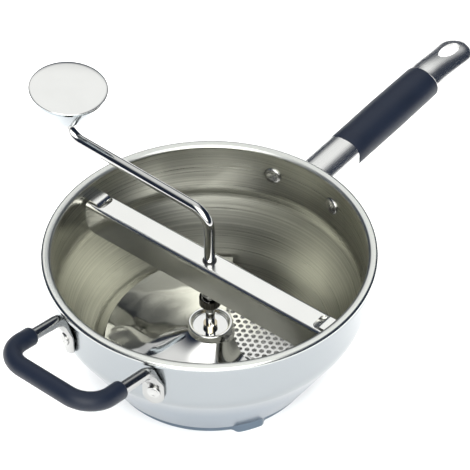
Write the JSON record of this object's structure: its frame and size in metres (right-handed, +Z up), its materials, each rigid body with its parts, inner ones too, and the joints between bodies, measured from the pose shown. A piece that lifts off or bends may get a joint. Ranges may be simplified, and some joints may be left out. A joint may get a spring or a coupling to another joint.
{
  "type": "food mill",
  "caption": "Hand-cranked food mill: steel bowl with perforated disc, sprung crossbar, crank with mushroom knob, helical blade, long handle and helper handle.",
  "frame": {"origin": "centre of the outlet collar's bottom edge, on the bowl's axis", "axes": "+Z up along the bowl's axis, +X along the long handle, Y along the crossbar"},
  "size_m": [0.4408, 0.2386, 0.174],
  "materials": {
    "satin_steel": "brushed, with fine concentric rings inside the bowl",
    "polished_steel": "mirror polished",
    "bar_steel": "satin",
    "soft_grip": "matt, soft to the touch",
    "black_nylon": "moulded",
    "dark_steel": "blackened",
    "spring_steel": "drawn wire",
    "brass_tone": "polished"
  },
  "bodies": {
    "hopper": {"bowl": "satin_steel", "lug_rear": "satin_steel", "lug_front": "satin_steel", "milling_disc": "satin_steel", "handle_bracket": "satin_steel", "handle_neck": "satin_steel", "handle_core": "satin_steel", "handle_grip": "soft_grip", "handle_end_cap": "satin_steel", "handle_rivets": "polished_steel", "helper_handle": "satin_steel", "helper_sleeve": "soft_grip", "helper_rivets": "polished_steel"},
    "bridge": {"crossbar": "bar_steel", "crossbar_bush": "black_nylon", "pressure_spring": "spring_steel"},
    "spring_seat": {"spring_cup": "dark_steel"},
    "crank": {"crank_rod": "polished_steel", "seat_ring": "dark_steel", "drive_pin": "spring_steel", "hub_collar": "brass_tone", "blade_hub": "polished_steel", "blade": "polished_steel", "knob_retainer": "spring_steel"},
    "knob": {"knob_base": "polished_steel", "knob_cap": "polished_steel", "knob_bush": "black_nylon"}
  },
  "joints": [
    {"name": "bridge_press", "type": "slide", "parent": "hopper", "child": "bridge", "axis": [0, 0, -1], "range_m": [0, 0.005], "stiffness_N_per_m": 1500, "springref_m": -0.012, "deforming": ["pressure_spring"]},
    {"name": "blade_lift", "type": "slide", "parent": "hopper", "child": "spring_seat", "axis": [0, 0, 1], "range_m": [0, 0.004], "stiffness_N_per_m": 1500, "springref_m": -0.012, "deforming": ["pressure_spring"]},
    {"name": "crank_spin", "type": "hinge", "parent": "spring_seat", "child": "crank", "pos_m": [0, 0, 0.0465], "axis": [0, 0, 1], "continuous": true},
    {"name": "knob_spin", "type": "hinge", "parent": "crank", "child": "knob", "pos_m": [-0.00529, 0.11208, 0.1334], "axis": [0.0048, -0.1009, 0.9949], "continuous": true}
  ]
}
